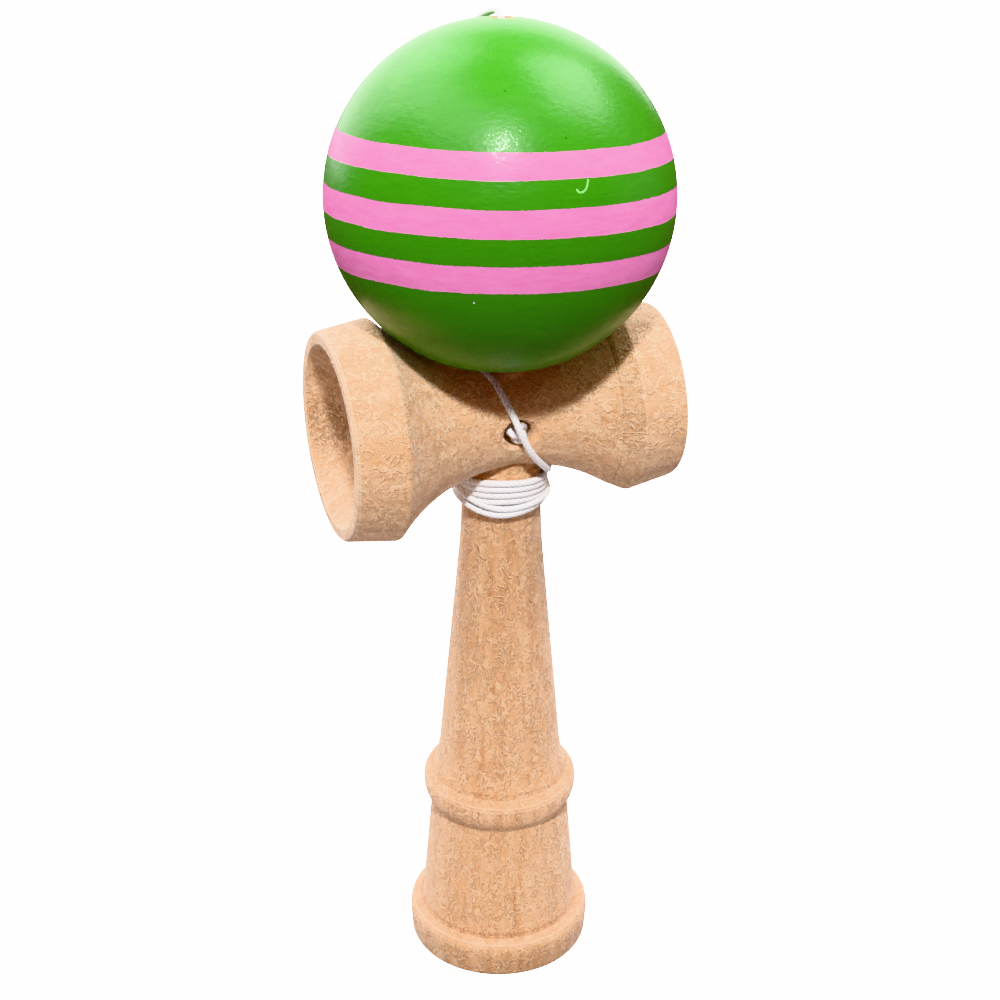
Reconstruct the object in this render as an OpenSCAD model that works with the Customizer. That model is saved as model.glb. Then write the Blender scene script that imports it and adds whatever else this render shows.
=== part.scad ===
// A kendama: a turned handle with a spike, a crosspiece with two cups wedged on it, a bored ball that
// sits on the spike, and a string. All sizes are in millimetres. The origin is the centre of the base
// rim, +Z runs up the handle, and the crosspiece lies along X with the big cup at -X.

/* [Handle] */
// Radius of the foot flange at its widest
flange_r = 17.15; // [16.9:0.05:17.6]
// Height of the foot flange
flange_h = 6.9; // [6:0.1:7.4]
// Radius of the barrel just above the flange
barrel_foot_r = 14.75; // [14.5:0.05:15]
// Radius of the barrel under the ring
barrel_top_r = 12.95; // [12.8:0.05:13.1]
// Radius of the turned ring
ring_r = 14.35; // [14.2:0.05:14.6]
// Radius of the neck that the string is wound on
neck_r = 7.15; // [6.9:0.05:7.15]
// Radius of the spike where it leaves the crosspiece
spike_r = 4.8; // [4.5:0.05:4.9]
// Height of the spike's tip above the base
tip_z = 156; // [150:1:158]
// Radius of the base cup's mouth
base_cup_r = 13.9; // [12:0.1:14.5]
// Depth of the base cup
base_cup_depth = 7.5; // [5:0.1:9]

/* [Crosspiece] */
// Height of the crosspiece's own axis above the base
cross_z = 113.4; // [113:0.1:113.8]
// Radius of the waist, at the middle of the saddle
waist_r = 9.75; // [9.6:0.05:9.8]
// Distance from the middle to the big cup's mouth
big_cup_x = 31.5; // [31:0.1:32]
// Outer radius of the big cup's rim
big_cup_r = 18.45; // [18:0.05:19]
// Radius of the big cup's mouth
big_mouth_r = 16.1; // [15:0.1:16.6]
// Depth of the big cup
big_cup_depth = 9; // [7:0.1:10]
// Distance from the middle to the small cup's mouth
small_cup_x = 29.4; // [29:0.1:30]
// Outer radius of the small cup's rim
small_cup_r = 15.7; // [15.2:0.05:16.2]
// Radius of the small cup's mouth
small_mouth_r = 12.9; // [12:0.1:13.4]
// Depth of the small cup
small_cup_depth = 7; // [5:0.1:8]
// Radius of the front hole that the knot sits in
knot_hole_r = 2.4; // [2.3:0.05:2.6]
// Radius of the string holes
string_hole_r = 1.1; // [1:0.05:1.3]

/* [Ball] */
// Diameter of the ball
ball_d = 60; // [59:0.5:60.5]
// Radius of the bore that the spike goes in
bore_r = 10; // [9.8:0.1:10.5]
// Depth of the bore from the ball's underside
bore_depth = 40; // [38:0.5:41]
// How far the ball's axis leans from upright, in degrees
lean = 12.8; // [12:0.1:13]
// Direction that the ball's top leans to, in degrees from +X towards +Y
lean_to = 69.5; // [65:0.5:75]
// How far the ball sits behind the handle's axis
ball_back = 1.6; // [1.4:0.1:1.8]

/* [String] */
// Diameter of the string
string_d = 1.25; // [1:0.05:1.3]
// Lowest point of the winding round the neck
winding_z = 96.1; // [95.5:0.1:97]

/* [Hidden] */
$fn = 96;

ball_r = ball_d / 2;
socket_gap = 0.05;     // between the handle's taper and the socket
ball_gap = 0.48;       // between the ball and the saddle it rests in
saddle_r = ball_r + 0.1;
saddle_c = waist_r + saddle_r;
ball_rise = sqrt(pow(waist_r + ball_r + ball_gap, 2) - pow(ball_back, 2));
ball_centre = [0, ball_back, cross_z + ball_rise];

// The tapered seat runs from under the waist to above it
seat_low_z = 104;
seat_low_r = 6.7;
seat_high_z = 123.2;

// The big cup's shoulder, and the small cup's shoulder with the scribed line inside it
big_shoulder_x = 22.4;
big_shoulder_r = 19.65;
small_shoulder_x = 20.7;
small_shoulder_r = 17.05;
scribe_x = 17.2;
scribe_depth = 0.15;

// Heights along the ball's own axis, from its centre
bore_end = bore_depth - ball_r;
pocket_end = bore_end + 8;
pocket_r = 4.6;
ball_hole_r = 1.5;
ball_hole_chamfer = 0.55;
bore_chamfer = 0.5;
knot_hole_chamfer = 0.75;
bead_r = 4;
bead_at = pocket_end - bead_r - 0.2;
end_knot_r = 1.8;
anchor_knot_r = 1.9;
anchor_knot_y = -7.8;

// The winding reaches up to where the crosspiece's belly leaves it no more room at the sides
winding_top = 102.3;
winding_h = winding_top - winding_z;
winding_in = neck_r + 0.05;
winding_out = winding_in + string_d;

// From the knot through the handle and the crosspiece, then down behind to the winding
tail_route = [[0, -5.8, 113.4], [0, -2, 113.4], [0, 2, 113.4], [0, 6, 113.4], [0, 9.8, 113.4],
              [0, 11.1, 112.6], [0, 11.5, 110.8], [0, 10.9, 108.6], [0, 9.6, 106.6], [0, 8.2, 104.6],
              [0, 7.85, 102.3]];
// From the winding up across the waist, past the knot and the spike, to the back of the ball
front_route = [[7, -4.7, 102.95], [6.7, -5.9, 103.8], [5.6, -7.3, 105.1], [3.8, -8.9, 107.4],
               [2.1, -10, 109.8], [0.8, -10.5, 112.3], [-0.3, -10.5, 114.9], [-1.1, -9.9, 117.1],
               [-1.9, -8.9, 119.2], [-2.7, -7.5, 121], [-3.3, -5.8, 122.4], [-4.2, -4, 123.5], [-5.2, -2, 124.2],
               [-5.7, 0.2, 124.4], [-5.7, 2.4, 124.1], [-5.4, 4.4, 123.3], [-5.3, 6.4, 122.8]];
// Up behind the ball, on its surface at the top
back_route = [[-5.3, 7.2, 122.8], [-5.6, 10, 123.5], [-5.6, 13, 124.6], [-5.4, 16.2, 126.3], [-4.6, 20.6, 129.3],
              [-3.6, 25.2, 133.2], [-2.5, 28.7, 138], [-1.5, 31.2, 143.2], [-0.7, 32.6, 148.4],
              [0, 33, 153.6], [0.5, 32.6, 158.9], [1, 31, 164.3], [1.4, 28.6, 169.3], [1.7, 25.4, 173.6],
              [1.9, 21.2, 177.4], [2, 16.8, 180.3], [2.1, 13.3, 182]];

// One point on the ball's own axis, at a distance from its centre
function on_axis(t) = ball_centre + t * [sin(lean) * cos(lean_to), sin(lean) * sin(lean_to), cos(lean)];

// Over the edge of the top hole, then down the ball's axis through the bead to the knot
top_route = concat([[2.2, 12.3, 182.45], [2.3, 10.6, 183.05], [2.3, 9.5, 183.05], [2.3, 8.6, 182.65], [2.25, 7.85, 181.95]],
                   [for (t = [28.1, 25, 21, 17, 13, 9.9]) on_axis(t)]);

// Unit vector along a
function unit(a) = a / norm(a);
// Direction of the route at point i
function heading(route, i) =
    unit(route[min(i + 1, len(route) - 1)] - route[max(i - 1, 0)]);
// A direction square to heading h, on the side of guide vector g
function square_to(h, g) = unit(g - (g * h) * h);

// A tube of string swept along a route, with a ring of 8 points at each route point
module string_along(route) {
    sides = 8;
    rings = len(route);
    points = [for (i = [0:rings - 1])
        let (h = heading(route, i), a = square_to(h, [1, 0, 0]), b = cross(h, a))
        for (k = [0:sides - 1])
            route[i] + string_d / 2 * (cos(k * 360 / sides) * a + sin(k * 360 / sides) * b)];
    walls = [for (i = [0:rings - 2], k = [0:sides - 1])
        let (k2 = (k + 1) % sides, a = i * sides, b = a + sides)
        each [[a + k, b + k, b + k2], [a + k, b + k2, a + k2]]];
    first = [for (k = [0:sides - 1]) k];
    last = [for (k = [sides - 1:-1:0]) (rings - 1) * sides + k];
    color("white") polyhedron(points = points, faces = concat(walls, [first, last]));
}

// Puts a shape made about the origin on the ball's own axis
module on_ball(t = 0) {
    translate(on_axis(t)) rotate([0, lean, lean_to]) children();
}

// A cone that cuts a 45 degree chamfer this deep round a hole of radius r, whose surface is at z = 0
module chamfer(r, depth) {
    cylinder(h = 2 * depth, r1 = r, r2 = r + 2 * depth, center = true);
}

// Radius of the circle that makes a dish of this mouth radius and depth
function dish_radius(mouth_r, depth) = (pow(mouth_r, 2) + pow(depth, 2)) / (2 * depth);

module handle() {
    flange_foot = 16.5;
    ring_foot_z = 31.2;
    ring_top_z = 37.1;
    dish_r = dish_radius(base_cup_r, base_cup_depth);
    color("burlywood") difference() {
        rotate_extrude() difference() {
            polygon([[0, 0], [flange_foot, 0], [flange_foot + 0.3, 0.35], [flange_r, flange_h - 2.4],
                     [flange_r, flange_h - 1.2], [flange_r - 0.2, flange_h - 0.4], [flange_r - 0.45, flange_h + 0.1],
                     [flange_r - 0.65, flange_h + 0.25], [15.15, flange_h + 0.7], [14.95, flange_h + 0.85],
                     [barrel_foot_r, flange_h + 1.2], [barrel_top_r, ring_foot_z - 0.8],
                     [barrel_top_r - 0.15, ring_foot_z], [barrel_top_r + 0.05, ring_foot_z + 0.4],
                     [13.4, 32.2], [13.9, 33], [ring_r - 0.2, 33.7], [ring_r - 0.05, 34.5], [ring_r, 35.5],
                     [ring_r - 0.1, ring_top_z - 0.6], [ring_r - 0.35, ring_top_z], [12.9, 38.4],
                     [12.65, 38.6], [12.4, 39.15], [11.95, 40.4], [11.6, 42],
                     [11.3, 43.8], [9.05, 69.5], [8.1, 80], [7.42, 88], [neck_r, 94],
                     [neck_r, seat_low_z - 0.3], [seat_low_r, seat_low_z], [spike_r, seat_high_z],
                     [2.7, tip_z - 3.6], [2.4, tip_z - 1.8], [1.5, tip_z - 0.5], [0.6, tip_z], [0, tip_z]]);
            translate([0, base_cup_depth - dish_r]) circle(dish_r);
        }
        translate([0, 0, cross_z]) rotate([90, 0, 0]) cylinder(h = 30, r = string_hole_r, center = true);
    }
}

module crosspiece_outline() {
    big_dish_r = dish_radius(big_mouth_r, big_cup_depth);
    small_dish_r = dish_radius(small_mouth_r, small_cup_depth);
    scribe_r = saddle_c - sqrt(pow(saddle_r, 2) - pow(scribe_x, 2));
    difference() {
        polygon([[0, -big_cup_x], [big_cup_r - 0.35, -big_cup_x], [big_cup_r, -big_cup_x + 0.4],
                 [big_shoulder_r, -big_shoulder_x], [big_shoulder_r, -15], [scribe_r, -8],
                 [scribe_r, scribe_x - 0.2], [scribe_r - scribe_depth, scribe_x], [scribe_r + 0.1, scribe_x + 0.2],
                 [small_shoulder_r - 0.1, small_shoulder_x - 0.2],
                 [small_shoulder_r, small_shoulder_x + 0.1], [small_cup_r, small_cup_x - 1],
                 [small_cup_r - 0.25, small_cup_x - 0.3], [small_cup_r - 0.8, small_cup_x], [0, small_cup_x]]);
        translate([saddle_c, 0]) circle(saddle_r, $fn = 180);
        translate([0, -big_cup_x + big_cup_depth - big_dish_r]) circle(big_dish_r);
        translate([0, small_cup_x - small_cup_depth + small_dish_r]) circle(small_dish_r);
    }
}

module crosspiece() {
    seat_h = seat_high_z - seat_low_z;
    taper = (seat_low_r - spike_r) / seat_h;
    reach = 12;
    color("tan") translate([0, 0, cross_z]) difference() {
        rotate([0, 90, 0]) rotate_extrude() crosspiece_outline();
        // The tapered socket, longer than the waist at both ends
        translate([0, 0, seat_low_z - cross_z - 1])
            cylinder(h = seat_h + 2, r1 = seat_low_r + socket_gap + taper, r2 = spike_r + socket_gap - taper);
        // The knot's hole in front, its countersunk edge, and the string's hole behind
        rotate([90, 0, 0]) cylinder(h = reach, r = knot_hole_r);
        translate([0, -waist_r, 0]) rotate([90, 0, 0])
            chamfer(knot_hole_r, knot_hole_chamfer);
        rotate([-90, 0, 0]) cylinder(h = reach, r = string_hole_r);
    }
}

module ball() {
    mouth_z = -sqrt(pow(ball_r, 2) - pow(bore_r, 2));
    color("limegreen") on_ball() difference() {
        sphere(ball_r, $fn = 180);
        translate([0, 0, -ball_r - 1]) cylinder(h = bore_end + ball_r + 1, r = bore_r);
        translate([0, 0, mouth_z]) mirror([0, 0, 1]) chamfer(bore_r - 0.05, bore_chamfer);
        cylinder(h = pocket_end, r = pocket_r);
        cylinder(h = ball_r + 1, r = ball_hole_r);
        translate([0, 0, ball_r]) chamfer(ball_hole_r - 0.05, ball_hole_chamfer + 0.05);
    }
}

module stopper_bead() {
    color("peru") on_ball(bead_at) difference() {
        sphere(bead_r);
        cylinder(h = 3 * bead_r, r = string_d / 2 + 0.25, center = true);
    }
}

module anchor_knot() {
    color("white") translate([0, anchor_knot_y, cross_z]) sphere(anchor_knot_r);
}

module end_knot() {
    color("white") on_ball(bead_at - bead_r - end_knot_r) sphere(end_knot_r);
}

module string_tail() {
    string_along(tail_route);
}

module string_winding() {
    round = string_d / 2;
    color("white") translate([0, 0, winding_z]) rotate_extrude()
        polygon([[winding_in, 0], [winding_out - round, 0], [winding_out, round],
                 [winding_out, winding_h - round], [winding_out - round, winding_h], [winding_in, winding_h]]);
}

module string_front() {
    string_along(front_route);
}

module string_back() {
    string_along(back_route);
}

module string_top() {
    string_along(top_route);
}

handle();
crosspiece();
ball();
stopper_bead();
anchor_knot();
end_knot();
string_tail();
string_winding();
string_front();
string_back();
string_top();
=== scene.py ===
"""A kendama: turned handle, crosspiece with two cups, painted ball on the spike, string round the neck."""
import math

import bpy
import numpy as np
from mathutils import Matrix, Vector


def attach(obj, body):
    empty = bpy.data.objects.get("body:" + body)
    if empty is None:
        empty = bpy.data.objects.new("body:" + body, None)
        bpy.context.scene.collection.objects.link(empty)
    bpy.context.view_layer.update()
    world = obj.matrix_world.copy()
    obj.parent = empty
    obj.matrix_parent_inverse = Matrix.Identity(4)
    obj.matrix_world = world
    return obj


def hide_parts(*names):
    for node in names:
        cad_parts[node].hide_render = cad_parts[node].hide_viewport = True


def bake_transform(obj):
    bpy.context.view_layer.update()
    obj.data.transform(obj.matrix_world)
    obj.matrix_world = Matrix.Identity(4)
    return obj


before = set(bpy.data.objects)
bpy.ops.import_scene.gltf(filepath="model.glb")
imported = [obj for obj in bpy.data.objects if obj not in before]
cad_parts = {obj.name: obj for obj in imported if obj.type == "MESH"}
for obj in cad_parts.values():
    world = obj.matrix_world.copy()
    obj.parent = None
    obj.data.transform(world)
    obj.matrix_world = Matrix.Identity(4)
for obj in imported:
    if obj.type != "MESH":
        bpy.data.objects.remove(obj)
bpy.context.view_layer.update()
MM = 0.001

# ------------------------------------------------------------------ camera, fitted to the photo

LENS_MM, SENSOR_MM = 92.92, 36
CAMERA_AT = (-0.13007, -0.38242, 0.32298)
PAN, TILT, ROLL = -18.756, 60.607, 0.355  # degrees


def turned_by(degrees, axis):
    return Matrix.Rotation(math.radians(degrees), 4, axis)


camera = bpy.data.objects.new("camera", bpy.data.cameras.new("camera"))
camera.data.lens = LENS_MM
camera.data.sensor_width = SENSOR_MM
camera.data.clip_start, camera.data.clip_end = 0.01, 20
camera.matrix_world = (
    Matrix.Translation(CAMERA_AT) @ turned_by(PAN, "Z") @ turned_by(TILT, "X") @ turned_by(ROLL, "Z")
)
bpy.context.scene.collection.objects.link(camera)
bpy.context.scene.camera = camera

# ------------------------------------------------------------------ where things are, as in part.scad, in mm

CROSS_Z = 113.4  # the crosspiece's own axis
WAIST_R = 9.75
SADDLE_R = 30.1
SADDLE_C = WAIST_R + SADDLE_R
BASE_CUP_R, BASE_CUP_DEPTH = 13.9, 7.5
BIG_CUP_X, BIG_CUP_R, BIG_CUP_DEPTH = -31.5, 16.1, 9
SMALL_CUP_X, SMALL_CUP_R, SMALL_CUP_DEPTH = 29.4, 12.9, 7
STRING_HOLE_R, KNOT_HOLE_R, KNOT_CHAMFER_R = 1.1, 2.55, 4.65
BALL_R = 30.0
BALL_CENTRE = np.array([0, 1.6, 153.598])
LEAN, LEAN_TO = math.radians(12.8), math.radians(69.5)
BALL_AXIS = np.array([
    math.sin(LEAN) * math.cos(LEAN_TO), math.sin(LEAN) * math.sin(LEAN_TO), math.cos(LEAN),
])
BORE_R, BORE_END, POCKET_R, POCKET_END, HOLE_R = 10.0, 10.0, 4.6, 18.0, 1.5
BEAD_R, BEAD_HALF, BEAD_HOLE_R = 4, 3.6, 0.95
STRING_D = 1.25
# Places on the ball's axis, from its centre
BEAD_AT = 13.8
END_KNOT_AT = 8.0


def on_axis(t):
    """The point of the ball's axis at t mm from its centre."""
    return BALL_CENTRE + t * BALL_AXIS


ball_turn = Matrix.Rotation(LEAN_TO, 4, "Z") @ Matrix.Rotation(LEAN, 4, "Y")


def ball_place(t=0.0):
    """The place of a piece whose own Z is the ball's axis, in metres."""
    return Matrix.Translation(Vector(on_axis(t) * MM)) @ ball_turn


# ------------------------------------------------------------------ mesh tools


def rounded(corners, arc_steps=5):
    """A profile whose corners are eased. Each corner is (radius, height, easing[, wear and painted highlight,
    dust and painted shade]). The rows that come back are radius, height, wear and painted highlight, and dust
    and painted shade, the last two 0 away from a marked corner."""
    c = [(*p, *([0] * (5 - len(p)))) for p in corners]
    out = []
    for i, (r, z, ease, wear_and_painted_highlight, dust_and_painted_shade) in enumerate(c):
        here = np.array([r, z], float)
        if ease == 0 or i in (0, len(c) - 1):
            out.append([r, z, wear_and_painted_highlight, dust_and_painted_shade])
            continue
        before = np.array(c[i - 1][:2], float) - here
        after = np.array(c[i + 1][:2], float) - here
        lb, la = np.linalg.norm(before), np.linalg.norm(after)
        eased = min(ease, 0.48 * lb, 0.48 * la)
        a, b = here + before / lb * eased, here + after / la * eased
        for k in range(arc_steps + 1):
            t = k / arc_steps
            p = (1 - t) ** 2 * a + 2 * t * (1 - t) * here + t * t * b
            peak = 1 - abs(2 * t - 1)
            out.append([p[0], p[1], wear_and_painted_highlight * peak, dust_and_painted_shade * peak])
    return np.array(out)


def filled(profile, step):
    """The profile with more points on its long straight runs."""
    out = [profile[0]]
    for a, b in zip(profile[:-1], profile[1:]):
        n = max(1, int(math.ceil(np.linalg.norm(b[:2] - a[:2]) / step)))
        for k in range(1, n + 1):
            out.append(a + (b - a) * k / n)
    return np.array(out)


def dish(mouth_r, depth, mouth_z, up=1, n=40):
    """Points of a spherical dish from its middle to its mouth. up is the way that it opens."""
    sphere_r = (mouth_r**2 + depth**2) / (2 * depth)
    end = math.asin(mouth_r / sphere_r)
    return [
        [sphere_r * math.sin(a), mouth_z - up * (depth - sphere_r + sphere_r * math.cos(a)), 0]
        for a in np.linspace(0, end, n)
    ]


def note(obj, label, values, kind="FLOAT"):
    """Keeps a value, or a vector, for each of obj's points."""
    data = obj.data.attributes.new(label, kind, "POINT").data
    data.foreach_set("value" if kind == "FLOAT" else "vector", np.asarray(values, np.float32).ravel())


def points_of(obj):
    """obj's points, in mm."""
    flat = np.zeros(len(obj.data.vertices) * 3, np.float32)
    obj.data.vertices.foreach_get("co", flat)
    return flat.reshape(-1, 3) / MM


def shade_smooth(mesh):
    mesh.polygons.foreach_set("use_smooth", np.ones(len(mesh.polygons), bool))


def mesh_object(name, points, faces, materials, face_material=None):
    mesh = bpy.data.meshes.new(name)
    mesh.from_pydata((np.asarray(points) * MM).tolist(), [], faces)
    mesh.update()
    for m in materials:
        mesh.materials.append(m)
    if face_material is not None:
        mesh.polygons.foreach_set("material_index", np.asarray(face_material, np.int32))
    shade_smooth(mesh)
    obj = bpy.data.objects.new(name, mesh)
    bpy.context.scene.collection.objects.link(obj)
    return obj


def lathe(name, profile, sides, materials, band=None, closed=False, move=None):
    """Turns a profile (radius, height, wear and painted highlight, dust and painted shade) about Z. band gives
    each row's material number, and move(points) may shift the points. The rows' wear and painted highlight, and
    dust and painted shade, are kept on the points."""
    n = len(profile)
    angle = np.arange(sides) * 2 * math.pi / sides
    points, rows, faces, kinds = [], [], [], []
    for i, row in enumerate(profile):
        r, z = row[0], row[1]
        if r < 1e-6:
            rows.append([len(points)] * sides)
            points.append([0, 0, z])
        else:
            rows.append(list(range(len(points), len(points) + sides)))
            points.extend(np.c_[r * np.cos(angle), r * np.sin(angle), np.full(sides, z)].tolist())
    marks = np.zeros((len(points), 2))
    for row, ids in zip(profile, rows):
        marks[ids] = row[2:4]
    for i in range(n if closed else n - 1):
        a, b = rows[i], rows[(i + 1) % n]
        for k in range(sides):
            k2 = (k + 1) % sides
            ring = [a[k], a[k2], b[k2], b[k]]
            face = [v for j, v in enumerate(ring) if v != ring[j - 1]]
            if len(face) > 2:
                faces.append(face)
                kinds.append(0 if band is None else band[i])
    points = np.array(points, float)
    if move is not None:
        points = move(points)
    obj = mesh_object(name, points, faces, materials, kinds)
    note(obj, "wear_and_painted_highlight", marks[:, 0])
    note(obj, "dust_and_painted_shade", marks[:, 1])
    return obj


def cut(obj, cutter):
    """Takes cutter out of obj and deletes cutter. Its wear and painted highlight, and its dust and painted
    shade, go on to the walls that it leaves.
    """
    bpy.context.view_layer.update()
    m = obj.modifiers.new("cut", "BOOLEAN")
    m.operation, m.object, m.solver = "DIFFERENCE", cutter, "EXACT"
    dg = bpy.context.evaluated_depsgraph_get()
    made = bpy.data.meshes.new_from_object(obj.evaluated_get(dg))
    old = obj.data
    obj.modifiers.clear()
    obj.data = made
    bpy.data.meshes.remove(old)
    bpy.data.objects.remove(cutter)


def own_coordinates(obj):
    """Keeps the points as they are now, in mm, for the piece's material."""
    note(obj, "own", points_of(obj), "FLOAT_VECTOR")


def crisp(obj, angle):
    """Shades obj smooth but for edges sharper than angle, in degrees."""
    shade_smooth(obj.data)
    obj.data.set_sharp_from_angle(angle=math.radians(angle))


def between(t, s, first, last, before, after):
    """before and after, mixed by how far s has come between two of the curve's knots t."""
    span = t[last] - t[first]
    return (t[last] - s) / span * before + (s - t[first]) / span * after


def smooth_line(points, step):
    """A curve through the points (centripetal Catmull-Rom), with a point every step."""
    p = np.array(points, float)
    p = np.vstack([2 * p[0] - p[1], p, 2 * p[-1] - p[-2]])
    out = []
    for i in range(1, len(p) - 2):
        q = p[i - 1 : i + 3]
        t = np.r_[0, np.cumsum(np.linalg.norm(np.diff(q, axis=0), axis=1) ** 0.5)]
        s = np.linspace(t[1], t[2], 24, endpoint=False)[:, None]
        a = [between(t, s, k, k + 1, q[k], q[k + 1]) for k in range(3)]
        b = [between(t, s, k, k + 2, a[k], a[k + 1]) for k in range(2)]
        out.append(between(t, s, 1, 2, b[0], b[1]))
    out = np.vstack([*out, p[-2]])
    along = np.r_[0, np.cumsum(np.linalg.norm(np.diff(out, axis=0), axis=1))]
    at = np.linspace(0, along[-1], max(3, int(round(along[-1] / step)) + 1))
    return np.c_[[np.interp(at, along, out[:, k]) for k in range(3)]].T


def braid(along, around, diameter):
    """How far a braided string's surface stands out, 0 to 1. Strands of both hands go over and under."""
    strands = 4
    pitch = 3.1 * diameter
    u = strands * (around / (2 * math.pi) + along / pitch)
    v = strands * (around / (2 * math.pi) - along / pitch)
    fu, fv = u - np.floor(u), v - np.floor(v)
    over = (np.floor(u) + np.floor(v)) % 2
    long_way, short_way = np.where(over == 0, fu, fv), np.where(over == 0, fv, fu)
    return np.sin(math.pi * long_way) ** 0.5 * np.sin(math.pi * short_way) ** 0.8


def string_tube(name, line, diameter, material, sides=20, depth=0.05):
    """A braided string along a line of points in mm. depth is that of its braid, as a part of its radius."""
    p = np.asarray(line, float)
    t = np.gradient(p, axis=0)
    t /= np.linalg.norm(t, axis=1)[:, None]
    a = np.cross(t[0], [0.3, 0.2, 0.93])
    a /= np.linalg.norm(a)
    frames = []
    for h in t:
        a = a - (a @ h) * h
        a /= np.linalg.norm(a)
        frames.append((a, np.cross(h, a)))
    along = np.r_[0, np.cumsum(np.linalg.norm(np.diff(p, axis=0), axis=1))]
    around = np.arange(sides) * 2 * math.pi / sides
    grid_along, grid_around = np.meshgrid(along, around, indexing="ij")
    high = braid(grid_along, grid_around, diameter)
    r = diameter / 2 * (1 - depth * 1.4 + depth * 2.0 * high)
    fa, fb = np.array([f[0] for f in frames]), np.array([f[1] for f in frames])
    points = p[:, None, :] + r[:, :, None] * (
        np.cos(grid_around)[:, :, None] * fa[:, None, :] + np.sin(grid_around)[:, :, None] * fb[:, None, :]
    )
    n = len(p)
    faces = []
    for i in range(n - 1):
        for k in range(sides):
            k2 = (k + 1) % sides
            faces.append([i * sides + k, i * sides + k2, (i + 1) * sides + k2, (i + 1) * sides + k])
    faces.append(list(range(sides - 1, -1, -1)))
    faces.append([(n - 1) * sides + k for k in range(sides)])
    obj = mesh_object(name, points.reshape(-1, 3), faces, [material])
    note(obj, "strand", high)
    own_coordinates(obj)
    return obj


# ------------------------------------------------------------------ materials


def material(name):
    m = bpy.data.materials.new(name)
    m.use_nodes = True
    return m, m.node_tree, m.node_tree.nodes["Principled BSDF"]


def put(nt, socket, value):
    """Links a socket's value, or sets it."""
    if isinstance(value, bpy.types.NodeSocket):
        nt.links.new(value, socket)
    else:
        socket.default_value = value


def calc(nt, operation, *values):
    n = nt.nodes.new("ShaderNodeMath")
    n.operation = operation
    for socket, v in zip(n.inputs, values):
        put(nt, socket, v)
    return n.outputs[0]


def weighed(nt, *parts):
    """The sum of values, each times its weight."""
    total = None
    for value, weight in parts:
        term = calc(nt, "MULTIPLY", value, weight)
        total = term if total is None else calc(nt, "ADD", total, term)
    return total


def most(nt, values):
    """The greatest of some values."""
    total = None
    for value in values:
        total = value if total is None else calc(nt, "MAXIMUM", total, value)
    return total


def spread(nt, value, low, high, to_low=0.0, to_high=1.0, smooth=False):
    """A value's run from low to high, as a run from to_low to to_high."""
    n = nt.nodes.new("ShaderNodeMapRange")
    n.interpolation_type = "SMOOTHSTEP" if smooth else "LINEAR"
    runs = {"Value": value, "From Min": low, "From Max": high, "To Min": to_low, "To Max": to_high}
    for key, v in runs.items():
        put(nt, n.inputs[key], v)
    return n.outputs["Result"]


def blend_colour(nt, factor, a, b):
    """Colour a where factor is 0 and b where it is 1."""
    n = nt.nodes.new("ShaderNodeMix")
    n.data_type = "RGBA"
    factor_socket, a_socket, b_socket = n.inputs["Factor"], n.inputs[6], n.inputs[7]
    put(nt, factor_socket, factor)
    for socket, v in ((a_socket, a), (b_socket, b)):
        put(nt, socket, (*v, 1) if isinstance(v, tuple) else v)
    return n.outputs[2]


def layer(nt, where, weight, colour, over):
    """The colour with another laid over it, where that is and by its weight."""
    return blend_colour(nt, calc(nt, "MULTIPLY", where, weight), colour, over)


def times(factors, colour):
    return tuple(min(1.0, k * c) for k, c in zip(factors, colour))


def scaled(nt, vector, scale, shift=(0, 0, 0)):
    n = nt.nodes.new("ShaderNodeMapping")
    put(nt, n.inputs["Vector"], vector)
    n.inputs["Scale"].default_value = scale
    n.inputs["Location"].default_value = shift
    return n.outputs[0]


def noise(nt, vector, detail=3.0, rough=0.55, twist=0.0):
    n = nt.nodes.new("ShaderNodeTexNoise")
    put(nt, n.inputs["Vector"], vector)
    for key, v in (("Scale", 1.0), ("Detail", detail), ("Roughness", rough), ("Distortion", twist)):
        n.inputs[key].default_value = v
    return n.outputs["Fac"]


def distance(nt, vector, point):
    n = nt.nodes.new("ShaderNodeVectorMath")
    n.operation = "DISTANCE"
    put(nt, n.inputs[0], vector)
    n.inputs[1].default_value = point
    return n.outputs["Value"]


def mark(nt, name):
    """A value that is kept on the piece's points."""
    n = nt.nodes.new("ShaderNodeAttribute")
    n.attribute_name = name
    return n.outputs["Fac"]


def bumped(nt, bsdf, height, deep, to="Normal"):
    """Bumps a surface. A height of 1 stands for deep metres."""
    n = nt.nodes.new("ShaderNodeBump")
    put(nt, n.inputs["Height"], height)
    n.inputs["Distance"].default_value = deep
    nt.links.new(n.outputs[0], bsdf.inputs[to])


def in_mm(nt):
    """The piece's own coordinates, in mm, which stay with it when it moves or bends."""
    n = nt.nodes.new("ShaderNodeAttribute")
    n.attribute_name = "own"
    return n.outputs["Vector"]


def curls(nt, vector):
    """Short curly fibres, broken up: the painted shade on one side of each, and the painted highlight on the
    other.
    """
    n = noise(nt, vector, 1.0, 0.35, 0.9)
    gate = spread(nt, noise(nt, scaled(nt, vector, (0.55, 0.55, 0.55), (7, 3, 5)), 2.0, 0.5), 0.34, 0.50)
    sides = []
    for level, width in ((0.555, 0.050), (0.475, 0.065)):
        off = calc(nt, "ABSOLUTE", calc(nt, "SUBTRACT", n, level))
        line = spread(nt, off, 0.0, width, 1.0, 0.0, smooth=True)
        sides.append(calc(nt, "MULTIPLY", line, gate))
    return sides


TEAR_AT = (-28, 12.2, 109.2)  # the torn spot inside the big cup
TEAR_COLOUR = (0.33, 0.145, 0.05)
RING_LOOK = {"Scale": 0.075, "Distortion": 9.0, "Detail": 4.0, "Detail Scale": 0.16, "Detail Roughness": 0.7}


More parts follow.
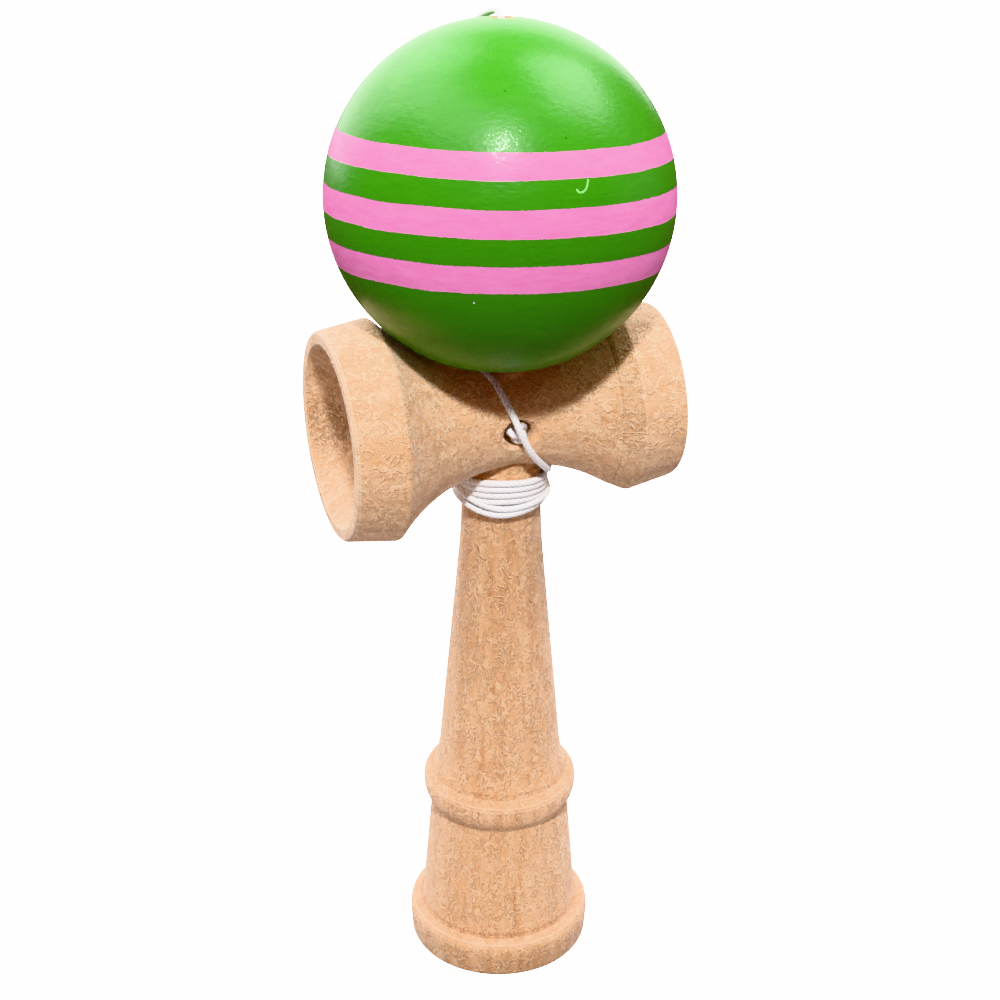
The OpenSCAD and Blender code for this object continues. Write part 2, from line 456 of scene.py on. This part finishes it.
def wood(name, along, pale, deep, pith, tear=False, seed=0.0):
    """Bare sanded beech whose grain runs along an axis (0, 1 or 2), its rings round the pith."""
    m, nt, bsdf = material(name)
    at = in_mm(nt)

    def grain(across, lengthwise, shift=0.0):
        s = [across] * 3
        s[along] = lengthwise
        return scaled(nt, at, s, (seed + shift, seed * 1.7 + shift, seed * 0.6 - shift))

    # Growth rings, nearly straight because the pith is far away
    wave = nt.nodes.new("ShaderNodeTexWave")
    wave.wave_type, wave.rings_direction, wave.wave_profile = "RINGS", "XYZ"[along], "SIN"
    s = [1.0] * 3
    s[along] = 0.05
    put(nt, wave.inputs["Vector"], scaled(nt, at, s, pith))
    for key, v in RING_LOOK.items():
        wave.inputs[key].default_value = v
    rings = wave.outputs["Fac"]

    # Marks along the grain, from the broadest to the finest
    broad = noise(nt, grain(0.075, 0.035), 3.0, 0.5, 0.6)
    bands = spread(nt, noise(nt, grain(0.36, 0.008, 41.0), 2.0, 0.6), 0.40, 0.62, smooth=True)
    streak = noise(nt, grain(1.1, 0.02, 3.0), 3.0, 0.6, 0.1)
    lines = spread(nt, noise(nt, grain(1.0, 0.012, 17.0), 3.0, 0.7), 0.55, 0.70)
    mottle = noise(nt, grain(1.5, 1.0, 5.0), 4.0, 0.65, 1.2)
    fibre = noise(nt, grain(6.0, 0.4, 9.0), 3.0, 0.6)
    pits = spread(nt, noise(nt, grain(2.6, 1.5, 13.0), 2.0, 0.5, 0.5), 0.66, 0.76, smooth=True)
    # Curly fibres, each painted as if shaded on one side and lit on the other
    curl_shade_a, curl_highlight_a = curls(nt, grain(0.62, 0.50, 7.0))
    curl_shade_b, curl_highlight_b = curls(nt, grain(0.85, 0.66, 27.0))
    curl_painted_shade, curl_painted_highlight = most(nt, (curl_shade_a, curl_shade_b)), most(nt, (curl_highlight_a, curl_highlight_b))

    tone = weighed(
        nt, (rings, 0.10), (broad, 0.45), (streak, 0.28), (mottle, 0.20), (bands, 0.30), (fibre, 0.10)
    )
    colour = blend_colour(nt, spread(nt, tone, 0.32, 1.06), deep, pale)
    # A dark tone for the grain lines, the pits and the curls' painted shade; a paler one for the curls' painted
    # highlight
    dark_grain_and_curl_shade = times((0.78, 0.62, 0.50), deep)
    curl_highlight_tone = times((1.10, 1.24, 1.38), pale)
    worn_and_highlight_tone = times((1.15, 1.32, 1.6), pale)
    dust_and_shade_tone = times((0.30, 0.30, 0.30), deep)
    # At the end, edges are rubbed paler, partly as a painted highlight, and turned creases and recesses get
    # some dust and painted shade
    for where, weight, over in (
        (lines, 0.55, dark_grain_and_curl_shade), (curl_painted_shade, 0.48, dark_grain_and_curl_shade), (curl_painted_highlight, 0.60, curl_highlight_tone), (pits, 0.18, dark_grain_and_curl_shade),
        (mark(nt, "wear_and_painted_highlight"), 0.75, worn_and_highlight_tone), (mark(nt, "dust_and_painted_shade"), 0.80, dust_and_shade_tone),
    ):
        colour = layer(nt, where, weight, colour, over)
    height = weighed(nt, (fibre, 0.45), (mottle, 0.35), (curl_painted_shade, -0.45), (curl_painted_highlight, 0.9), (pits, -0.6))

    if tear:  # end grain torn by the turning tool, inside the cups
        rough = noise(nt, grain(1.2, 0.8, 21.0), 4.0, 0.65, 1.2)
        patch = spread(nt, distance(nt, at, TEAR_AT), 9.0, 2.5, smooth=True)
        thicker = calc(nt, "ADD", rough, calc(nt, "MULTIPLY", patch, 0.14))
        spot = calc(nt, "MULTIPLY", spread(nt, thicker, 0.60, 0.70, smooth=True), patch)
        few = calc(nt, "MULTIPLY", spread(nt, rough, 0.66, 0.74, smooth=True), 0.4)
        torn = calc(nt, "MULTIPLY", most(nt, (spot, few)), mark(nt, "torn"))
        colour = layer(nt, torn, 0.62, colour, TEAR_COLOUR)
        height = calc(nt, "SUBTRACT", height, calc(nt, "MULTIPLY", torn, 1.6))

    put(nt, bsdf.inputs["Base Color"], colour)
    put(nt, bsdf.inputs["Roughness"], spread(nt, mottle, 0.3, 0.7, 0.46, 0.62))
    bsdf.inputs["Specular IOR Level"].default_value = 0.50
    bsdf.inputs["Sheen Weight"].default_value = 0.40
    bsdf.inputs["Sheen Roughness"].default_value = 0.4
    bumped(nt, bsdf, height, 0.00012)
    return m


# Marks on the ball, in its own mm
SCUFF = (
    (-26.44, -12.97, 5.86), (-26.33, -13.22, 5.52), (-26.15, -13.60, 5.40), (-25.95, -13.95, 5.50),
    (-25.74, -14.27, 5.76), (-25.50, -14.50, 6.25), (-25.33, -14.60, 6.75), (-25.15, -14.66, 7.20),
)
SCUFF_STEP, SCUFF_R, SPECK_R = 0.22, 0.27, 0.24
PALE_SPECK = (-27.0, 3.17, -12.69)
DARK_SPECKS = ((-21.78, -1.22, 20.59), (-24.31, -11.05, 13.67))
STRIPES = ((7.48, 11.74), (-1.79, 2.90), (-10.98, -6.35))  # their edges along the ball's axis
STRIPE_BLUR = 0.05
GREENS = ((0.034, 0.228, 0.009), (0.042, 0.246, 0.011))
PINKS = ((0.87, 0.235, 0.560), (0.93, 0.300, 0.640))


def ball_paint():
    """Gloss green enamel with three pink stripes, brushed on while the ball turned."""
    m, nt, bsdf = material("ball_enamel")
    at = in_mm(nt)
    parts = nt.nodes.new("ShaderNodeSeparateXYZ")
    put(nt, parts.inputs[0], at)

    def about_zero(value, size):
        return calc(nt, "MULTIPLY", calc(nt, "SUBTRACT", value, 0.5), size)

    # The stripes' edges are a little ragged, and wander
    ragged = noise(nt, scaled(nt, at, (1.4, 1.4, 1.4)), 3.0, 0.6)
    wander = noise(nt, scaled(nt, at, (0.09, 0.09, 0.09)), 1.0, 0.5)
    z = calc(nt, "ADD", parts.outputs[2], calc(nt, "ADD", about_zero(ragged, 0.34), about_zero(wander, 0.5)))
    stripe = most(nt, [
        calc(
            nt, "MULTIPLY",
            spread(nt, z, low - STRIPE_BLUR, low + STRIPE_BLUR),
            spread(nt, z, high + STRIPE_BLUR, high - STRIPE_BLUR),
        )
        for low, high in STRIPES
    ])
    thick = spread(nt, noise(nt, scaled(nt, at, (0.22, 0.22, 0.9)), 3.0, 0.5, 0.6), 0.3, 0.7)
    colour = blend_colour(nt, stripe, blend_colour(nt, thick, *GREENS), blend_colour(nt, thick, *PINKS))

    def near(point, radius):
        """1 within a radius of a point of the ball, in its own mm."""
        return spread(nt, distance(nt, at, point), radius, 0.5 * radius, smooth=True)

    # A hooked scuff between two stripes, raised by the bump and painted paler along it as a highlight, and
    # three specks
    scuff_with_painted_highlight = most(nt, [near(tuple(point), SCUFF_R) for point in smooth_line(SCUFF, SCUFF_STEP)])
    # The scuff's pale green is a painted highlight
    colour = layer(nt, scuff_with_painted_highlight, 0.75, colour, (0.30, 0.80, 0.22))
    colour = blend_colour(nt, near(PALE_SPECK, SPECK_R), colour, (0.80, 0.85, 0.80))
    for point in DARK_SPECKS:
        colour = layer(nt, near(point, SPECK_R), 0.7, colour, (0.010, 0.050, 0.008))

    put(nt, bsdf.inputs["Base Color"], colour)
    bsdf.inputs["Roughness"].default_value = 0.40
    bsdf.inputs["Specular IOR Level"].default_value = 0.29
    bsdf.inputs["Coat Weight"].default_value = 0.15
    bsdf.inputs["Coat Roughness"].default_value = 0.05
    peel = noise(nt, scaled(nt, at, (0.75, 0.75, 1.1)), 3.0, 0.5, 0.5)
    brushed = noise(nt, scaled(nt, at, (0.10, 0.10, 1.6)), 3.0, 0.6, 0.3)
    bumped(nt, bsdf, weighed(nt, (peel, 0.75), (brushed, 0.35), (stripe, 0.25), (scuff_with_painted_highlight, 1.2)), 0.00009)
    ripples = noise(nt, scaled(nt, at, (0.80, 0.80, 1.0)), 3.0, 0.55, 0.6)
    bumped(nt, bsdf, ripples, 0.00012, "Coat Normal")
    return m


def string_white():
    """White braid, with painted shade down between its strands."""
    m, nt, bsdf = material("string_braid")
    high = spread(nt, mark(nt, "strand"), 0.1, 0.75)
    fine = noise(nt, scaled(nt, in_mm(nt), (6, 6, 6)), 3.0, 0.6)
    # The braid's low parts, between the strands, are painted a shaded grey
    colour = blend_colour(nt, high, (0.70, 0.71, 0.725), (0.91, 0.93, 0.95))
    colour = layer(nt, spread(nt, fine, 0.35, 0.65), 0.15, colour, (0.80, 0.80, 0.81))
    put(nt, bsdf.inputs["Base Color"], colour)
    bsdf.inputs["Roughness"].default_value = 0.62
    bsdf.inputs["Sheen Weight"].default_value = 0.25
    bumped(nt, bsdf, fine, 0.00003)
    return m


handle_wood = wood("handle_beech", 2, (0.835, 0.528, 0.300), (0.585, 0.305, 0.135), (52, -34, 0), seed=2.0)
cross_wood = wood(
    "crosspiece_beech", 0, (0.925, 0.615, 0.372), (0.680, 0.380, 0.182), (0, 60, 41), tear=True, seed=11.0,
)
bore_wood = wood("bore_beech", 2, (0.70, 0.47, 0.27), (0.50, 0.29, 0.14), (40, 50, 0), seed=23.0)
bead_wood = wood("bead_beech", 2, (0.66, 0.42, 0.22), (0.46, 0.26, 0.12), (20, 18, 0), seed=31.0)
enamel = ball_paint()
braid_white = string_white()

# ------------------------------------------------------------------ handle

# Profiles list their corners as radius, height, easing and, where marked, wear and painted highlight, and dust
# and painted shade
base_cup = dish(BASE_CUP_R, BASE_CUP_DEPTH, 0, up=-1)
# The flange's top edge is rubbed paler, with a painted highlight along it
foot = [
    [BASE_CUP_R, 0, 0.3, 0.6, 0], [16.6, 0, 0.35, 1, 0], [16.9, 0.5, 0.4], [17.15, 4.6, 1.5], [17.12, 5.7, 0.6],
    [16.95, 6.5, 0.4, 0.4, 0], [16.66, 7.0, 0.22, 1, 0], [16.45, 7.13, 0.15, 1, 0], [15.2, 7.6, 0.12],
]
# Painted shade darkens the crease at the barrel's foot
barrel = [[14.8, 7.3, 0.28, 0, 0.75], [14.73, 8.2, 0.45, 0, 0.5], [12.95, 30.4, 0.5]]
# A trace of painted shade at the ring's foot; its top edges are rubbed paler, with a painted highlight
turned_ring = [
    [12.8, 31.15, 0.2, 0, 0.05], [13.0, 31.6, 0.2], [13.4, 32.2, 0.5], [13.9, 33.0, 0.5], [14.15, 33.7, 0.5],
    [14.3, 34.5, 0.6], [14.34, 35.5, 0.6], [14.28, 36.5, 0.3, 0.6, 0], [14.02, 37.1, 0.22, 1, 0],
    [12.95, 38.35, 0.12],
]
# Painted shade in the crease above the ring
taper = [
    [12.64, 38.2, 0.2, 0, 0.8], [12.45, 39.1, 0.35, 0, 0.4], [11.95, 40.4, 1.0], [11.6, 42.0, 1.2],
    [11.3, 43.8, 3], [9.05, 69.5, 12], [8.1, 80.0, 6], [7.42, 88.0, 4], [7.15, 94.0, 4], [7.15, 103.7, 0.2],
]
# Painted shade darkens the seat, under the ball
seat_and_spike = [
    [6.7, 104.0, 0.2], [4.8, 123.2, 0.4, 0, 0.8], [4.6, 125.5, 0.4, 0, 0.5], [2.7, 152.4, 1.2],
    [2.4, 154.2, 1.0], [1.5, 155.5, 0.6], [0.6, 156, 0.4], [0, 156, 0],
]
handle_profile = base_cup[:-1] + foot + barrel + turned_ring + taper + seat_and_spike
SEAT_Z = 103  # the handle is truly round from here up, where it goes into the crosspiece
OVAL, LOBED = 0.0022, 0.0009  # how far out of round it is below, as parts of its radius


def turned_stick(p):
    """Lathe work is never quite round: the stick is a few hundredths of a millimetre oval."""
    a = np.arctan2(p[:, 1], p[:, 0])
    r = np.hypot(p[:, 0], p[:, 1])
    k = 1 + OVAL * np.cos(2 * a + 0.6) + LOBED * np.cos(5 * a + p[:, 2] / 21)
    k = np.where((p[:, 2] > SEAT_Z) | (r < 0.1), 1.0, k)
    return np.c_[p[:, 0] * k, p[:, 1] * k, p[:, 2]]


def bored(obj, profile, sides, wood_inside, forwards=True):
    """Takes out of obj a hole that is turned about the line along Y through the crosspiece's middle."""
    cutter = lathe("hole", profile, sides, [wood_inside])
    to_front = turned_by(90 if forwards else -90, "X")
    cutter.matrix_world = Matrix.Translation((0, 0, CROSS_Z * MM)) @ to_front
    cut(obj, cutter)


def rod(radius, low, high, radius_high=None):
    """The profile of a plain rod, or of a tapered one."""
    return rounded([[0, low, 0], [radius, low, 0], [radius_high or radius, high, 0], [0, high, 0]])


handle = lathe("handle_turned", filled(rounded(handle_profile), 1.6), 320, [handle_wood], move=turned_stick)
bored(handle, rod(STRING_HOLE_R, -12, 12), 48, handle_wood)
own_coordinates(handle)
crisp(handle, 50)
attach(handle, "handle")
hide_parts("handle")

# ------------------------------------------------------------------ crosspiece, its grain along its own axis


def saddle(x):
    """The saddle's radius at x along the crosspiece."""
    return SADDLE_C - math.sqrt(SADDLE_R**2 - x * x)


big_cup = dish(BIG_CUP_R, BIG_CUP_DEPTH, BIG_CUP_X, up=-1)
small_cup = dish(SMALL_CUP_R, SMALL_CUP_DEPTH, SMALL_CUP_X, up=1)
# Painted shade lies in the corner where the band meets the saddle
big_end = [
    [BIG_CUP_R, BIG_CUP_X, 0.3, 0.8, 0], [18.1, -31.5, 0.4, 1, 0], [18.48, -31.05, 0.5, 0.7, 0],
    [19.66, -22.45, 0.7, 0.25, 0.22],
]
waist = [[saddle(x), x, 0.6] for x in np.linspace(-21.9, 16.9, 60)]
# A groove with painted shade in it, then a strip darkened a little with painted shade, for a duller sheen
small_end = [
    [saddle(17.15), 17.15, 0.08], [saddle(17.25) - 0.22, 17.3, 0.06, 0, 1],
    [saddle(17.5) - 0.02, 17.5, 0, 0, 0.13], [16.93, 20.45, 0, 0, 0.16], [17.06, 20.8, 0.4, 0.4, 0],
    [15.75, 28.2, 0.9], [15.45, 29.1, 0.5, 0.6, 0],
    [14.9, SMALL_CUP_X, 0.4, 0.9, 0], [SMALL_CUP_R, SMALL_CUP_X, 0.3, 0.8, 0],
]
cross_rows = filled(rounded(big_cup[:-1] + big_end + waist + small_end + small_cup[::-1][1:]), 0.9)
crosspiece = lathe("crosspiece_turned", cross_rows, 384, [cross_wood])
crosspiece.data.transform(turned_by(90, "Y"))

# Torn end grain: all of both cups' insides, and a little on the big band's underside
x, y, z = points_of(crosspiece).T
radial = np.hypot(y, z)
in_cup = ((x < -22) & (radial < 16.0) | (x > 22) & (radial < 12.8)).astype(np.float32)
on_band = ((x < -22.5) & (x > -31.4) & (radial > 17)).astype(np.float32)
under = np.clip(-z / 9 - 0.9, 0, 1) * 0.35
note(crosspiece, "torn", np.maximum(in_cup, on_band * under))
crosspiece.data.transform(Matrix.Translation((0, 0, CROSS_Z * MM)))

cut(crosspiece, lathe("socket", rod(6.85, 103, 124.2, 4.75), 160, [cross_wood]))
# Painted shade makes a dark ring round the mouth of the knot's hole
knot_seat = rounded([
    [0, -2, 0], [KNOT_HOLE_R, -2, 0], [KNOT_HOLE_R, 8.9, 0.35, 0, 1], [KNOT_CHAMFER_R, 11.0, 0],
    [KNOT_CHAMFER_R, 13, 0], [0, 13, 0],
])
bored(crosspiece, filled(knot_seat, 0.4), 96, cross_wood)
rear_hole = rounded([
    [0, 2, 0], [STRING_HOLE_R, 2, 0], [STRING_HOLE_R, 9.3, 0.2], [1.9, 10.1, 0], [1.9, 12, 0], [0, 12, 0],
])
bored(crosspiece, rear_hole, 48, cross_wood, forwards=False)
own_coordinates(crosspiece)
crisp(crosspiece, 40)
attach(crosspiece, "handle")
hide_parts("crosspiece")

# ------------------------------------------------------------------ ball, turned about its own axis

TOP_RIM_R, MOUTH_RIM_R = 2.05, 10.45  # where the paint ends, at the string's hole and at the bore
rim_t = math.sqrt(BALL_R**2 - TOP_RIM_R**2)
mouth_t = -math.sqrt(BALL_R**2 - MOUTH_RIM_R**2)
arc = np.linspace(math.asin(TOP_RIM_R / BALL_R), math.pi - math.asin(MOUTH_RIM_R / BALL_R), 260)
outside = [[BALL_R * math.sin(a), BALL_R * math.cos(a), 0] for a in arc]
outside[0] = [TOP_RIM_R, rim_t, 0.18, 1, 0]
outside[-1] = [MOUTH_RIM_R, mouth_t, 0.2, 1, 0]
# Painted shade darkens the bore's inner corners
bore = [
    [BORE_R, mouth_t + 0.47, 0.2], [BORE_R, BORE_END, 0.5, 0, 0.5], [POCKET_R, BORE_END, 0.3, 0.3, 0],
    [POCKET_R, POCKET_END, 0.3, 0, 0.4], [HOLE_R, POCKET_END, 0.1], [HOLE_R, rim_t - 0.56, 0.1],
]
whole_round = rounded([bore[-1], *outside, *bore, outside[0]])[1:-1]
ball_rows = filled(whole_round, 1.2)
painted = (np.abs(np.hypot(ball_rows[:, 0], ball_rows[:, 1]) - BALL_R) < 0.03).astype(int)
band = [0 if painted[i] and painted[(i + 1) % len(ball_rows)] else 1 for i in range(len(ball_rows))]
ball = lathe("ball_turned", ball_rows, 384, [enamel, bore_wood], band=band, closed=True)
own_coordinates(ball)
ball.data.transform(ball_place())
crisp(ball, 50)
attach(ball, "ball")
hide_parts("ball")

# ------------------------------------------------------------------ stopper bead

bead_arc = np.linspace(math.pi - 0.3, 0.3, 60)
bead_rows = rounded(
    [[BEAD_HOLE_R, -BEAD_HALF, 0.2]]
    + [[BEAD_R * math.sin(a), BEAD_R * math.cos(a), 0] for a in bead_arc]
    + [[BEAD_HOLE_R, BEAD_HALF, 0.2]]
)
bead = lathe("stopper_bead_turned", bead_rows, 96, [bead_wood], closed=True)
own_coordinates(bead)
bead.data.transform(ball_place(BEAD_AT))
crisp(bead, 50)
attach(bead, "rocking_string")
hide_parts("stopper_bead")

# ------------------------------------------------------------------ string, its centre's line in mm

# From the knot through the handle and down behind, as the CAD routes it
tail = [
    [0, -5.8, 113.4], [0, -2, 113.4], [0, 2, 113.4], [0, 6, 113.4], [0, 9.8, 113.4], [0, 11.1, 112.6],
    [0, 11.5, 110.8], [0, 10.9, 108.6], [0, 9.6, 106.6], [0, 8.2, 104.6],
]
# Across the front of the waist and under the ball
front = [
    [6.7, -5.9, 103.8], [5.6, -7.3, 105.1], [3.8, -8.9, 107.4], [2.1, -10, 109.8], [0.8, -10.5, 112.3],
    [-0.3, -10.5, 114.9], [-1.1, -9.9, 117.1], [-1.9, -8.9, 119.2], [-2.7, -7.5, 121], [-3.3, -5.8, 122.4],
    [-4.2, -4, 123.5], [-5.2, -2, 124.2], [-5.7, 0.2, 124.4], [-5.7, 2.4, 124.1], [-5.4, 4.4, 123.3],
    [-5.3, 6.4, 122.8],
]
# Up behind the ball, half way and then to its top
back_low = [
    [-5.3, 7.2, 122.8], [-5.6, 10, 123.5], [-5.6, 13, 124.6], [-5.4, 16.2, 126.3], [-4.6, 20.6, 129.3],
    [-3.6, 25.2, 133.2], [-2.5, 28.7, 138], [-1.5, 31.2, 143.2], [-0.7, 32.6, 148.4], [0, 33, 153.6],
]
back_high = [
    [0.5, 32.6, 158.9], [1, 31, 164.3], [1.4, 28.6, 169.3], [1.7, 25.4, 173.6], [1.9, 21.2, 177.4],
    [2, 16.8, 180.3], [2.1, 13.3, 182],
]
over = [[2.2, 12.3, 182.45], [2.3, 10.6, 183.05], [2.3, 9.5, 183.05], [2.3, 8.6, 182.65], [2.25, 7.85, 181.95]]
inside = [on_axis(t).tolist() for t in (28.1, 25, 21, 17, 13, 9.9)]

# Six turns round the neck. Each quarter has its own height and radius for each pass: behind, right, in front,
# left. The lists are the turns made so far, the heights and the radii.
QUARTERS = (
    (
        [0, 1, 2, 3, 4, 5, 6.3],
        [102.5, 101.2, 100.1, 99.0, 97.7, 101.0, 103.3],
        [7.8, 7.8, 7.8, 7.8, 7.8, 8.8, 9.0],
    ),
    (
        [0.25, 1.25, 2.25, 3.25, 4.25, 5.25, 6.25],
        [101.8, 100.75, 99.75, 98.75, 97.3, 98.1, 101.6],
        [7.75, 7.75, 7.75, 7.75, 7.7, 8.25, 8.95],
    ),
    (
        [0.5, 1.5, 2.5, 3.5, 4.5, 5.5, 6.5],
        [103.05, 101.85, 100.65, 99.45, 96.75, 98.0, 103.0],
        [7.8, 7.8, 7.8, 7.8, 7.8, 7.85, 8.9],
    ),
    (
        [-0.25, 0.75, 1.75, 2.75, 3.75, 4.75, 5.75],
        [103, 101.75, 100.65, 99.6, 98.55, 98.3, 100.4],
        [7.6, 7.6, 7.6, 7.6, 7.6, 8.3, 8.4],
    ),
)
BEHIND = 71.2  # the way that quarter 0 faces, in degrees: straight away from the camera
FIRST_TURN, LAST_TURN, POINTS_A_TURN = 0.03, 6.18, 28
STRING_STEP = 0.14


def wound(turns):
    """The string's centre after that many turns clockwise, seen from above, starting behind."""
    s = 2 * math.pi * turns
    weights = [max(0, w) ** 2 for w in (math.cos(s), math.sin(s), -math.cos(s), -math.sin(s))]
    z = sum(w * np.interp(turns, n, heights) for w, (n, heights, _) in zip(weights, QUARTERS))
    r = sum(w * np.interp(turns, n, radii) for w, (n, _, radii) in zip(weights, QUARTERS))
    a = math.radians(BEHIND) - s
    return [r * math.cos(a), r * math.sin(a), z]


turns = [wound(t) for t in np.arange(FIRST_TURN, LAST_TURN, 1 / POINTS_A_TURN)]
lower_line = smooth_line(tail + turns + front + back_low, STRING_STEP)
upper_line = smooth_line(back_low[-1:] + back_high + over + inside, STRING_STEP)
mouth = int(np.argmin(np.linalg.norm(upper_line - over[-1], axis=1)))  # where it goes into the ball
outer_line = upper_line[: mouth + 1]


lower = string_tube("string_wound", lower_line, STRING_D, braid_white)
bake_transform(lower)
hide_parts("string_tail", "string_winding", "string_front", "string_back")
upper = string_tube("string_over_ball", outer_line, STRING_D, braid_white)
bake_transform(upper)
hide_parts("string_top")
inner = string_tube("string_in_ball", upper_line[mouth:], STRING_D, braid_white)
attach(inner, "rocking_string")
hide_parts("string_top")


def knot(name, centre, size, thick, body, node, turned):
    """A small overhand knot, drawn tight: a string on a trefoil. size is the whole knot's radius, in mm, and
    thick is its string's thickness."""
    t = np.linspace(0.12, 2 * math.pi - 0.12, 260)
    loop = np.c_[np.sin(t) + 2 * np.sin(2 * t), np.cos(t) - 2 * np.cos(2 * t), -1.25 * np.sin(3 * t)]
    loop *= (size - thick / 2) / 3.0
    loop = loop @ np.array(turned.to_3x3()).T + centre
    k = string_tube(name, loop, thick, braid_white, sides=18, depth=0.07)
    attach(k, body)
    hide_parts(node)
    return k


front_knot = knot(
    "anchor_knot_tied", np.array([0.15, -8.1, CROSS_Z - 0.1]), 2.2, 1.4, "handle", "anchor_knot",
    Matrix.Rotation(1.2, 4, "X") @ Matrix.Rotation(2.2, 4, "Z"),
)
end_knot = knot(
    "end_knot_tied", on_axis(END_KNOT_AT), 1.85, 1.2, "rocking_string", "end_knot", Matrix.Rotation(0.3, 4, "Y")
)

# ------------------------------------------------------------------ floor, surround and world

WHITE = (1, 1, 1, 1)
SEEN_GLOW = 8  # makes what lies behind the object plain white
FLOOR_TONE, SURROUND_TONE = 0.82, 0.8
# The bounce floor's tones: a painted pool of light round the foot, and a painted shadow close under it
BOUNCE_TONE, NEAR_BOUNCE_PAINTED_LIGHT, PAINTED_SHADOW_UNDER_FOOT = 0.17, 0.62, 0.25


def only_seen(obj):
    """obj shows to the camera, and neither lights nor shades anything."""
    obj.visible_diffuse = obj.visible_glossy = obj.visible_shadow = False


def grey(name, tone, glow):
    """A material of one grey, which may glow white."""
    m, nt, bsdf = material(name)
    bsdf.inputs["Base Color"].default_value = (tone, tone, tone, 1)
    bsdf.inputs["Emission Color"].default_value = WHITE
    bsdf.inputs["Emission Strength"].default_value = glow
    return m, nt, bsdf


def ground(name, z, tone, glow):
    """A floor, and the nodes of its material."""
    bpy.ops.mesh.primitive_plane_add(size=8, location=(0, 0, z))
    plane = bpy.context.object
    plane.name = name
    m, nt, bsdf = grey(name, tone, glow)
    bsdf.inputs["Roughness"].default_value = 0.9
    bsdf.inputs["Specular IOR Level"].default_value = 0.1
    plane.data.materials.append(m)
    return plane, nt, bsdf


# The floor that is seen is pale, and open to a view from below
floor, nt, bsdf = ground("floor", -0.0002, FLOOR_TONE, SEEN_GLOW)
mix, clear = nt.nodes.new("ShaderNodeMixShader"), nt.nodes.new("ShaderNodeBsdfTransparent")
put(nt, mix.inputs[0], nt.nodes.new("ShaderNodeNewGeometry").outputs["Backfacing"])
put(nt, mix.inputs[1], bsdf.outputs[0])
put(nt, mix.inputs[2], clear.outputs[0])
put(nt, nt.nodes["Material Output"].inputs["Surface"], mix.outputs[0])
only_seen(floor)

# What is thrown back up comes from a dimmer one just under it, so that the undersides keep their shade. It has
# a painted pool of light round the foot, and a painted shadow under it.
bounce, nt, bsdf = ground("floor_bounce", -0.0008, BOUNCE_TONE, 0.0)
from_foot = nt.nodes.new("ShaderNodeVectorMath")
from_foot.operation = "LENGTH"
put(nt, from_foot.inputs[0], nt.nodes.new("ShaderNodeTexCoord").outputs["Object"])
reach = from_foot.outputs["Value"]
# Painted pool of light round the foot, then a painted contact shadow close under it
around = spread(nt, reach, 0.08, 0.14, NEAR_BOUNCE_PAINTED_LIGHT, BOUNCE_TONE, smooth=True)
painted_contact_shadow = spread(nt, reach, 0.020, 0.045, PAINTED_SHADOW_UNDER_FOOT, 1.0, smooth=True)
put(nt, bsdf.inputs["Base Color"], calc(nt, "MULTIPLY", around, painted_contact_shadow))
bounce.visible_camera = bounce.visible_glossy = False

# A white surround, past the floor's edge
bpy.ops.mesh.primitive_uv_sphere_add(radius=9, segments=64, ring_count=32)
surround = bpy.context.object
surround.name = "surround"
surround.data.materials.append(grey("surround", SURROUND_TONE, SEEN_GLOW)[0])
only_seen(surround)

# A weak red fill, for the crimson of the deepest shadows
world = bpy.data.worlds.new("studio")
bpy.context.scene.world = world
world.use_nodes = True
background = world.node_tree.nodes["Background"]
background.inputs["Color"].default_value = (1, 0.36, 0.32, 1)
background.inputs["Strength"].default_value = 0.17

# ------------------------------------------------------------------ lamps


def lamp(name, azimuth, elevation, distance, size, power, aim_z=0.12):
    """An area lamp, placed by its direction in degrees from the point of the object's axis that it faces.
    Azimuth 0 is in front. Lengths are in metres and power is in watts."""
    data = bpy.data.lights.new(name, "AREA")
    data.shape, data.size, data.size_y = "RECTANGLE", size[0], size[1]
    data.energy = power
    lamp_object = bpy.data.objects.new(name, data)
    a, e = math.radians(azimuth), math.radians(elevation)
    back = Vector((math.sin(a) * math.cos(e), -math.cos(a) * math.cos(e), math.sin(e)))
    lamp_object.location = Vector((0, 0, aim_z)) + back * distance
    lamp_object.rotation_mode = "QUATERNION"
    lamp_object.rotation_quaternion = (-back).to_track_quat("-Z", "Y")
    bpy.context.scene.collection.objects.link(lamp_object)


lamp("key", -17, 55, 1.3, (0.11, 0.11), 15.8)
lamp("sparkle", -17, 55, 1.29, (0.045, 0.045), 6.0)
lamp("right", 105, 52, 1.0, (0.70, 0.60), 11.3)
lamp("left", -90, 61, 1.0, (0.75, 0.55), 5.1)
lamp("back_left", -152, 44, 1.0, (0.85, 0.60), 8)
lamp("behind", 180, 10, 1.6, (3.0, 1.2), 37, aim_z=0.10)
lamp("low_right", 80, 8, 1.3, (0.9, 0.9), 1.8, aim_z=0.10)
bpy.context.scene.view_settings.view_transform = "Khronos PBR Neutral"

bpy.context.view_layer.update()
